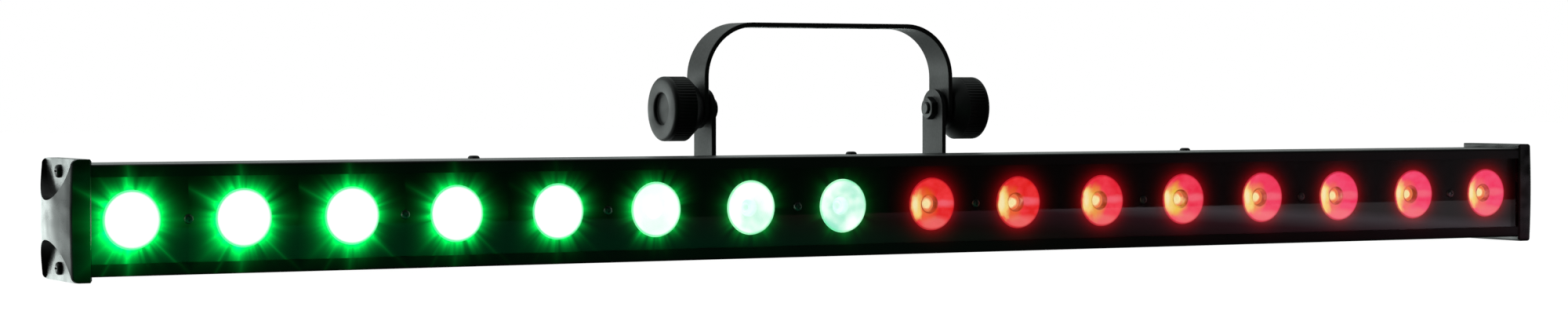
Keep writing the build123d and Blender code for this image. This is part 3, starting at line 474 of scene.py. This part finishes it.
MATERIALS = {
    "lens_green": lit_green_lens,
    "lens_red": lit_red_lens,
    "led_green": lambda name: lit_chip(name, (0.7, 1.0, 0.75, 1), 1.5),
    "led_red": lambda name: lit_chip(name, (1.0, 0.55, 0.3, 1), 1.0),
    # Painted lamp glow on the bar's front, through lit_front.
    "bar_coating": lambda name: coating(name, grey(0.0035), 0.38, lit_front=BAR[0].y + 0.5 * MM),
    "box_coating": lambda name: coating(name, grey(0.014), 0.46, peel=0.09),
    "strap_coating": lambda name: coating(name, grey(0.034, 0.98, 1.0, 0.99), 0.5, peel=0.07,
                                          gloss_index=1.38),
    "window_clear": clear_window,
    "seal_rubber": lambda name: rubber(name, grey(0.008)),
    # The lens plate carries the painted lamp glow as emission.
    "black_moulding": lens_plate_painted_glow,
    "bright_screw": lambda name: turned_metal(name, grey(0.30), 0.34),
    "black_screw": lambda name: turned_metal(name, grey(0.035), 0.34),
    # Painted lamp glow on the caps' fronts, through lit_front.
    "cap_plastic": lambda name: moulding(name, grey(0.004), 0.27, gloss_index=1.62, sink=1.4,
                                        lit_front=BAR[0].y - 0.5 * MM),
    "knob_plastic": lambda name: moulding(name, grey(0.006), 0.46, gloss_index=1.42),
    "button_plastic": lambda name: moulding(name, grey(0.05), 0.42),
    "connector_plastic": lambda name: moulding(name, grey(0.010), 0.34),
    "connector_metal": lambda name: turned_metal(name, (0.30, 0.295, 0.28, 1), 0.34),
    "spacer_plastic": lambda name: moulding(name, grey(0.016), 0.4),
    "display_window": display_window,
    "circuit_board": circuit_board,
    "power_module": power_module,
    "wire_sheath": wire_sheath,
    "nut_steel": lambda name: turned_metal(name, grey(0.06), 0.4),
}


# ---------------------------------------------------------------- pieces

def revolve(profile, segments, radius_of=None):
    """A closed solid turned round its axis from (radius, depth) points; depth runs along +Z of the mesh.
    radius_of(radius, depth, angle) may shape it round the turn."""
    shell = bmesh.new()
    rings = []
    for radius, depth in profile:
        if radius == 0:
            rings.append([shell.verts.new((0, 0, depth))])
            continue
        made = []
        for step in range(segments):
            angle = 2 * math.pi * step / segments
            here = radius_of(radius, depth, angle) if radius_of else radius
            made.append(shell.verts.new((here * math.cos(angle), here * math.sin(angle), depth)))
        rings.append(made)
    for first, second in zip(rings, rings[1:]):
        for step in range(segments):
            following = (step + 1) % segments
            if len(first) == 1:
                corners = (first[0], second[step], second[following])
            elif len(second) == 1:
                corners = (first[step], second[0], first[following])
            else:
                corners = (first[step], second[step], second[following], first[following])
            shell.faces.new(corners)
    bmesh.ops.recalc_face_normals(shell, faces=shell.faces)
    return shell


def piece(name, shell, material, sharp=35.0):
    """Makes the object of a finished mesh and shades it smooth, save for its sharp edges."""
    for face in shell.faces:
        face.smooth = True
    for edge in shell.edges:
        if len(edge.link_faces) == 2 and edge.calc_face_angle() > math.radians(sharp):
            edge.smooth = False
    mesh = bpy.data.meshes.new(name)
    shell.to_mesh(mesh)
    shell.free()
    mesh.materials.append(material)
    made = bpy.data.objects.new(name, mesh)
    bpy.context.scene.collection.objects.link(made)
    return made


def bowl_profile():
    """Radius and depth behind the front face of a collimator lens, in metres, from the chip's dome round
    to the back."""
    points = [(0, 6.6), (1.4, 6.8), (2.4, 7.5), (2.8, 8.6), (4.5, 8.7), (4.8, 8.2), (5.2, 4.0), (5.7, 3.5)]
    steps = 14
    for step in range(1, steps + 1):
        share = step / steps
        points.append((5.7 + 9.4 * share, 3.5 - 3.0 * share ** 1.7))
    points += [(15.5, 0.2), (15.9, 0.05), (16.2, 0.1), (16.35, 0.3), (16.4, 0.6), (16.4, 1.9), (17.6, 2.0),
               (17.6, 3.2), (16.4, 3.3), (14.4, 8.0), (11.8, 13.0), (9.0, 16.2), (8.0, 17.0), (0, 17.0)]
    return [(radius * MM, depth * MM) for radius, depth in points]


def lens_traits(index):
    """What tells one lit lens from the next. Green lamps dim to the right; red ones go from red to pink, with
    the strongest painted amber highlight in the fourth."""
    red_index = index - len(GREEN_LENSES)
    return {"variant": index * 1.7,
            "dimness": min(max((index - 4) / 3, 0.0), 1.0),
            "pinkness": min(max((red_index - 1) / 4, 0.0), 1.0),
            "chip_glare": 0.2 + 0.8 * max(0.0, 1 - abs(red_index - 2.9) / 1.6)}


def build_lens(cad_node, material, index):
    """A collimator lens with an open bowl and a chip well, in place of the plain one."""
    shell = revolve(bowl_profile(), 72)
    low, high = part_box(cad_node)
    for vertex in shell.verts:
        vertex.co = Vector((vertex.co.x, vertex.co.z, vertex.co.y))
    bmesh.ops.recalc_face_normals(shell, faces=shell.faces)
    made = piece(cad_node.replace("lens", "collimator"), shell, material, sharp=40)
    made.location = ((low.x + high.x) / 2, low.y, (low.z + high.z) / 2)
    for trait, value in lens_traits(index).items():
        values = made.data.attributes.new(trait, "FLOAT", "POINT")
        values.data.foreach_set("value", [value] * len(made.data.vertices))
    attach(made, "housing")
    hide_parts(cad_node)


KNOB_RIBS = 60
RIB_DEPTH = 0.35 * MM


def build_knob(side, material):
    """A clamping knob with a finely ribbed grip, a rounded outer rim and a recessed hub."""
    cad_node = f"knob_{side}"
    low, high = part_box(cad_node)
    outer_radius = (high.z - low.z) / 2
    length = high.x - low.x
    face, hub, recess = 18.5 * MM, 14 * MM, 10.3 * MM
    profile = [(0, 2.5 * MM), (recess - 0.4 * MM, 2.5 * MM), (recess, 2.2 * MM), (recess, 0.5 * MM),
               (recess + 0.4 * MM, 0.1 * MM), (recess + 0.8 * MM, 0)]
    profile += [(face - 0.6 * MM, 0.0), (face, 0.1 * MM)]
    for step in range(1, 6):
        turn = step / 5 * math.pi / 2
        rim_depth = 2.2 * MM * (1 - math.cos(turn)) + 0.1 * MM
        profile.append((face + (outer_radius - face) * math.sin(turn), rim_depth))
    grip_end = length - 7.5 * MM
    profile += [(outer_radius, 3.4 * MM), (outer_radius, 4.0 * MM), (outer_radius, grip_end - 0.8 * MM),
                (outer_radius, grip_end), (outer_radius - 0.7 * MM, grip_end + 0.8 * MM),
                (hub + 0.5 * MM, length - 0.6 * MM), (hub - 0.4 * MM, length), (0, length)]

    def ribbed(radius, depth, angle):
        on_grip = radius == outer_radius and 3.6 * MM < depth < grip_end - 0.4 * MM
        wave = 0.5 - 0.5 * math.cos(KNOB_RIBS * angle)
        return radius - (RIB_DEPTH * (1 - wave ** 2) if on_grip else 0)

    shell = revolve(profile, KNOB_RIBS * 6, ribbed)
    outward = -1 if side == "left" else 1
    for vertex in shell.verts:
        vertex.co = Vector((-outward * vertex.co.z, vertex.co.x, vertex.co.y))
    bmesh.ops.recalc_face_normals(shell, faces=shell.faces)
    made = piece(f"grip_{cad_node}", shell, material)
    outer_x = low.x if side == "left" else high.x
    made.location = (outer_x, (low.y + high.y) / 2, (low.z + high.z) / 2)
    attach(made, cad_node)
    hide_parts(cad_node)


# ---------------------------------------------------------------- studio

def build_world():
    """A white surround. What the object mirrors is bright low behind it and to the left, dark in front."""
    world = bpy.data.worlds.new("studio")
    bpy.context.scene.world = world
    world.use_nodes = True
    tree = world.node_tree
    tree.nodes.clear()
    towards = node(tree, "SeparateXYZ", {0: node(tree, "TexCoord").outputs["Generated"]})
    right, back, up = towards.outputs[0], towards.outputs[1], towards.outputs[2]
    band = maths(tree, "MULTIPLY", remap(tree, up, -0.35, -0.12, smooth=True),
                 remap(tree, up, 0.05, -0.05, smooth=True))
    low_behind = remap(tree, band, 0.0, 1.0, 0.6, 3.6)
    behind = maths(tree, "MULTIPLY", remap(tree, back, 0.2, 0.95, smooth=True), low_behind)
    left = remap(tree, right, 0.1, -0.9, 0.0, 0.45, smooth=True)
    above = remap(tree, up, 0.2, 1.0, 0.0, 0.35, smooth=True)
    front = remap(tree, back, 0.1, -0.5, 1.0, 0.0, smooth=True)
    fill_right = remap(tree, right, 0.58, 0.85, 0.0, 0.09, smooth=True)
    total = maths(tree, "ADD", behind, maths(tree, "ADD", left, above))
    level = maths(tree, "ADD", maths(tree, "MULTIPLY", total, front), maths(tree, "ADD", fill_right, 0.002))
    seen = node(tree, "LightPath").outputs["Is Camera Ray"]
    studio = node(tree, "Background", {"Color": (0.90, 1.0, 0.97, 1), "Strength": level})
    white = node(tree, "Background", {"Color": grey(1.0), "Strength": 1.0})
    mixed = node(tree, "MixShader", {0: seen, 1: studio.outputs[0], 2: white.outputs[0]})
    tree.links.new(mixed.outputs[0], node(tree, "OutputWorld").inputs[0])


def flat_sheet(name, corners, material):
    mesh = bpy.data.meshes.new(name)
    mesh.from_pydata([tuple(corner) for corner in corners], [], [(0, 1, 2, 3)])
    mesh.materials.append(material)
    made = bpy.data.objects.new(name, mesh)
    bpy.context.scene.collection.objects.link(made)
    return made


def floor_white():
    made, tree = new_tree("floor_white")
    faint = remap(tree, noise(tree, 3, 2), 0.3, 0.7, 0.10, 0.12)
    glow = node(tree, "Emission", {"Color": grey(1.0), "Strength": 1.0})
    matt_grey = node(tree, "CombineColor", {0: faint, 1: faint, 2: faint}).outputs[0]
    matt = node(tree, "BsdfDiffuse", {"Color": matt_grey})
    both = node(tree, "AddShader", {0: glow.outputs[0], 1: matt.outputs[0]})
    node(tree, "OutputMaterial", {"Surface": both.outputs[0]})
    return made


# What the window mirrors of the table: how far along X, and its colour there
TABLE_TINTS = ((-0.43, (0.0, 0.20, 0.055)), (-0.03, (0.004, 0.10, 0.045)), (0.15, (0.03, 0.06, 0.04)),
               (0.30, (0.06, 0.030, 0.032)), (0.50, (0.20, 0.070, 0.10)), (0.66, (0.52, 0.46, 0.52)),
               (0.78, (0.24, 0.23, 0.24)))


def table_glow():
    """The table in front of the bar as the window mirrors it: green from the lamps, then red, then studio."""
    made, tree = new_tree("table_glow")
    along = node(tree, "SeparateXYZ", {0: place(tree)}).outputs[0]
    start, end = TABLE_TINTS[0][0], TABLE_TINTS[-1][0]
    ramp = node(tree, "ValToRGB", {0: remap(tree, along, start, end)})
    stops = ramp.color_ramp.elements
    stops[0].color, stops[-1].color = (*TABLE_TINTS[0][1], 1.0), (*TABLE_TINTS[-1][1], 1.0)
    for x, colour in TABLE_TINTS[1:-1]:
        stops.new((x - start) / (end - start)).color = (*colour, 1.0)
    glow = node(tree, "Emission", {"Color": ramp.outputs[0], "Strength": 1.0})
    node(tree, "OutputMaterial", {"Surface": glow.outputs[0]})
    return made


FLOOR_HALF = 6.0
TABLE_HALF = 2.5
TABLE_EDGE = -0.70
TABLE_LIFT = 0.0005


def build_floor():
    far = FLOOR_HALF
    corners = [(-far, -far, 0), (far, -far, 0), (far, far, 0), (-far, far, 0)]
    floor = flat_sheet("floor", corners, floor_white())
    floor.visible_glossy = False
    floor.visible_diffuse = False
    near = WINDOW[0].y - 0.01
    side, lift = TABLE_HALF, TABLE_LIFT
    corners = [(-side, TABLE_EDGE, lift), (side, TABLE_EDGE, lift), (side, near, lift), (-side, near, lift)]
    table = flat_sheet("table_reflection", corners, table_glow())
    table.visible_camera = False
    table.visible_diffuse = False
    table.visible_shadow = False
    table.visible_transmission = False


def soft_light(name, place_at, look_at, size, power):
    light = bpy.data.lights.new(name, "AREA")
    light.shape = "RECTANGLE"
    light.size, light.size_y = size
    light.energy = power
    made = bpy.data.objects.new(name, light)
    bpy.context.scene.collection.objects.link(made)
    made.location = place_at
    made.rotation_euler = (Vector(look_at) - Vector(place_at)).to_track_quat("-Z", "Y").to_euler()
    made.visible_glossy = False


def build_lights():
    soft_light("key_left", (-2.6, 0.35, 0.9), (0, 0, 0.08), (1.2, 1.2), 26)
    soft_light("top", (0.1, 0.5, 2.2), (0, 0.0, 0.05), (2.4, 0.8), 9)
    soft_light("behind", (0.8, 2.6, 1.1), (0, 0.0, 0.08), (2.0, 1.0), 14)


def build_camera():
    lens = bpy.data.cameras.new("camera")
    lens.lens = CAMERA_LENS
    lens.sensor_width = 36.0
    lens.clip_start, lens.clip_end = 0.05, 50
    made = bpy.data.objects.new("camera", lens)
    bpy.context.scene.collection.objects.link(made)
    made.location = CAMERA_PLACE
    made.rotation_euler = (math.pi / 2 - CAMERA_DIP, 0, -CAMERA_TURN)
    bpy.context.scene.camera = made


# ---------------------------------------------------------------- build

made_materials = {slot: build(slot) for slot, build in MATERIALS.items()}
for name, shown in NODES.items():
    shown.data.materials.clear()
    shown.data.materials.append(made_materials[SLOT_OF[name]])

for index, name in enumerate(LENS_NODES):
    build_lens(name, made_materials[SLOT_OF[name]], index)
for side in ("left", "right"):
    build_knob(side, made_materials["knob_plastic"])

build_world()
build_floor()
build_lights()
build_camera()

view = bpy.context.scene.view_settings
view.view_transform = "Standard"
view.look = "None"
view.exposure = 0.0
view.gamma = 1.0
